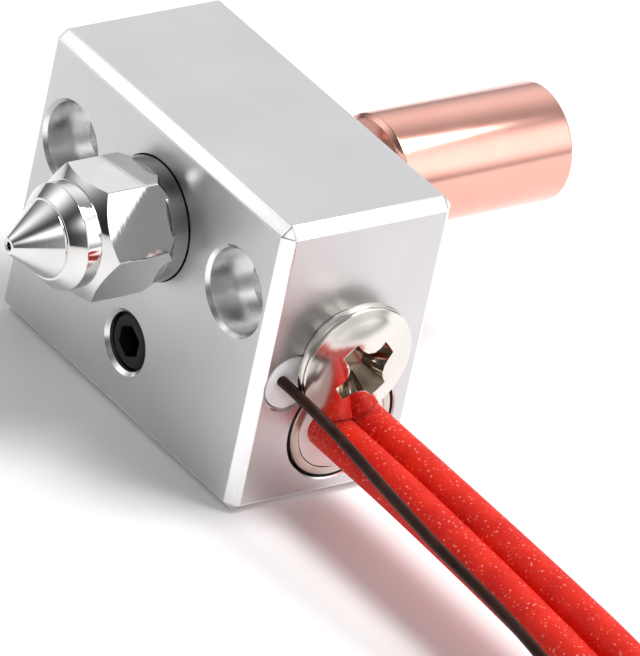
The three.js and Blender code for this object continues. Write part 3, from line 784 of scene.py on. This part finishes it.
def lead_coil(entry_x, side):
    """Two turns, one on the other, then a quarter bend inwards and down to the crimped end."""
    centre = Vector((entry_x + side * LEAD_COIL_RADIUS, LEAD_COIL_Y, 0))
    low, high = LEAD_COIL_LEVELS
    per_turn = 24
    points = []
    for i in range(2 * per_turn + 1):
        angle = math.pi + 2 * math.pi * i / per_turn
        climb = smooth_step((i / per_turn - 0.8) / 0.2)
        x = side * LEAD_COIL_RADIUS * math.cos(angle)
        y = LEAD_COIL_RADIUS * math.sin(angle)
        points.append(centre + Vector((x, y, low + (high - low) * climb)))
    bend = centre - Vector((side * (LEAD_COIL_RADIUS - LEAD_HOOK), 0, 0))
    hook_steps = 6
    for i in range(1, hook_steps + 1):
        turn = math.pi / 2 * i / hook_steps
        x = -side * LEAD_HOOK * math.cos(turn)
        points.append(bend + Vector((x, -LEAD_HOOK * math.sin(turn), high)))
    arc = LEAD_HOOK * math.pi / 2
    fall_from = 2 * arc / 3
    for i, point in enumerate(points[-hook_steps:], start=1):
        fall = smooth_step((arc * i / hook_steps - fall_from) / (arc + LEAD_RUN_OUT - fall_from))
        point.z += (FERRULE_Z - high) * fall
    for run in (1.25, 2.5, 3.75, LEAD_RUN_OUT, LEAD_RUN_OUT + 0.6):
        fall = smooth_step((arc + run - fall_from) / (arc + LEAD_RUN_OUT - fall_from))
        height = high + (FERRULE_Z - high) * fall
        points.append(bend + Vector((side * run, -LEAD_HOOK, height)))
    return points


def heater_lead(name, route, side):
    entry_x = route[-1][0]
    points = [*route, *lead_coil(entry_x, side)]
    nodes = [f"heater_lead_{name}", f"heater_lead_coil_{name}"]
    lead = wire(f"heater_lead_{name}_fine", points, LEAD_RADIUS, "heater", "red_silicone", nodes)


def sensor_lead():
    centre = Vector((*SENSOR_COIL, 0))
    per_turn = 16
    inward_turns, outward_turns = SENSOR_COIL_TURNS
    points = []
    inner = SENSOR_COIL_OUTER - SENSOR_COIL_STEP * inward_turns
    total = round((inward_turns + outward_turns) * per_turn)
    for i in range(total + 1):
        turns = i / per_turn
        angle = -2 * math.pi * turns
        if turns <= inward_turns:
            radius = SENSOR_COIL_OUTER - SENSOR_COIL_STEP * turns
        else:
            radius = min(SENSOR_COIL_OUTER, inner + SENSOR_COIL_STEP * (turns - inward_turns))
        climb = min(1, max(0, (turns - inward_turns + 0.4) / 0.55))
        height = SENSOR_COIL_LOW + (SENSOR_COIL_HIGH - SENSOR_COIL_LOW) * climb
        points.append(centre + Vector((radius * math.cos(angle), radius * math.sin(angle), height)))
    way = Vector((math.sin(angle), -math.cos(angle), 0))
    exit_point = points[-1]
    for run, height in SENSOR_TAIL:
        end = exit_point + way * run
        points.append(Vector((end.x, end.y, height)))
    points = [Vector(p) for p in SENSOR_ROUTE] + points
    nodes = ["thermistor_lead", "thermistor_lead_coil", "thermistor_lead_tail"]
    lead = wire("thermistor_lead_fine", points, SENSOR_RADIUS, "thermistor", "brown_sleeve", nodes)


# ---- CAD pieces that keep their shape ----

KEPT = {
    "clamp_lock_washer": "nickel", "heater_core": "ceramic", "heater_element": "resistance_wire",
    "heater_pin_left": "tinned_copper", "heater_pin_right": "tinned_copper",
    "thermistor_bead": "glass",
    "thermistor_leg_left": "tinned_copper", "thermistor_leg_right": "tinned_copper",
    "ferrule_collar_left": "red_nylon", "ferrule_collar_right": "red_nylon",
    "ferrule_pin_left": "tinned_copper", "ferrule_pin_right": "tinned_copper",
    "coil_tie_left": "tie_band", "coil_tie_right": "tie_band", "coil_tie_thermistor": "tie_band",
    "thermistor_plug": "white_nylon",
    "thermistor_plug_contact_1": "tinned_copper", "thermistor_plug_contact_2": "tinned_copper",
}


def dress_kept():
    for name, look in KEPT.items():
        for material_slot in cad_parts[name].material_slots:
            material_slot.material = LOOKS[look]


# ---- surface and light ----


def floor():
    bm = bmesh.new()
    bmesh.ops.create_grid(bm, x_segments=1, y_segments=1, size=3000)
    ground = new_object("floor", bm)
    ground.data.transform(Matrix.Scale(MM, 4))
    look = Look("pale_floor")
    colour = look.ramp(look.noise(400, 2), [(0.3, (0.93, 0.93, 0.93)), (0.7, (0.95, 0.95, 0.95))])
    look.wear(colour, None, look.spread(look.noise(50, 2), 0.7, 0.8))
    ground.data.materials.append(look.material)


def overhead_lamp():
    data = bpy.data.lights.new("overhead", "AREA")
    data.shape = "RECTANGLE"
    data.size = LAMP_SIDE * MM
    data.size_y = LAMP_SIDE * MM
    data.energy = LAMP_WATTS
    light = bpy.data.objects.new("overhead", data)
    light.location = row(LAMP_PLACE)
    aim = row(LAMP_AIM) - row(LAMP_PLACE)
    light.rotation_euler = aim.to_track_quat("-Z", "Y").to_euler()
    bpy.context.collection.objects.link(light)


LAMP_PLACE = (150, -110, 400)
LAMP_AIM = (0, 0, 8)
LAMP_SIDE = 190
LAMP_WATTS = 1.6
DIM_ROOM = 0.025  # the studio's brightness away from its panels

# soft panels of the studio: azimuth, elevation and half-width in degrees, strength, edge sharpness
PANELS = [
    (46, 35, 28, 1.15, 1),
    (-46, 27, 22, 1.8, 2),
    (128, 34, 20, 1.45, 1),
    (222, 42, 10, 1.9, 1),
    (268, 14, 22, 1.4, 1),
]


def studio():
    """Soft panels in a dim room, and one lamp high at a side that lights the floor."""
    world = bpy.data.worlds.new("studio")
    world.use_nodes = True
    tree = world.node_tree
    background = tree.nodes["Background"]
    direction = tree.nodes.new("ShaderNodeTexCoord").outputs["Generated"]

    def math_node(operation, first, second):
        node = tree.nodes.new("ShaderNodeMath")
        node.operation = operation
        for socket, value in zip(node.inputs, (first, second)):
            if isinstance(value, (int, float)):
                socket.default_value = value
            elif value is not None:
                tree.links.new(value, socket)
        return node.outputs[0]

    total = DIM_ROOM
    for azimuth, elevation, half_width, strength, sharpness in PANELS:
        turn, rise = math.radians(azimuth), math.radians(elevation)
        dot = tree.nodes.new("ShaderNodeVectorMath")
        dot.operation = "DOT_PRODUCT"
        dot.inputs[1].default_value = (
            math.cos(turn) * math.cos(rise), math.sin(turn) * math.cos(rise), math.sin(rise))
        tree.links.new(direction, dot.inputs[0])
        reach = 1 - math.cos(math.radians(half_width))
        off_centre = math_node("DIVIDE", math_node("SUBTRACT", 1, dot.outputs["Value"]), reach)
        lobe = math_node("POWER", 0.5, math_node("POWER", off_centre, sharpness))
        total = math_node("ADD", total, math_node("MULTIPLY", lobe, strength))
    tree.links.new(total, background.inputs["Strength"])
    background.inputs["Color"].default_value = (0.99, 0.995, 1.0, 1)
    bpy.context.scene.world = world
    overhead_lamp()
    bpy.context.scene.view_settings.view_transform = "Standard"


make_camera()
heater_lead("left", LEFT_ROUTE, -1)
heater_lead("right", RIGHT_ROUTE, 1)
sensor_lead()
heater_block()
nozzle()
heat_break()
grub_screw()
clamp_screw()
heater_end()
thermistor_end()
dress_kept()
floor()
studio()
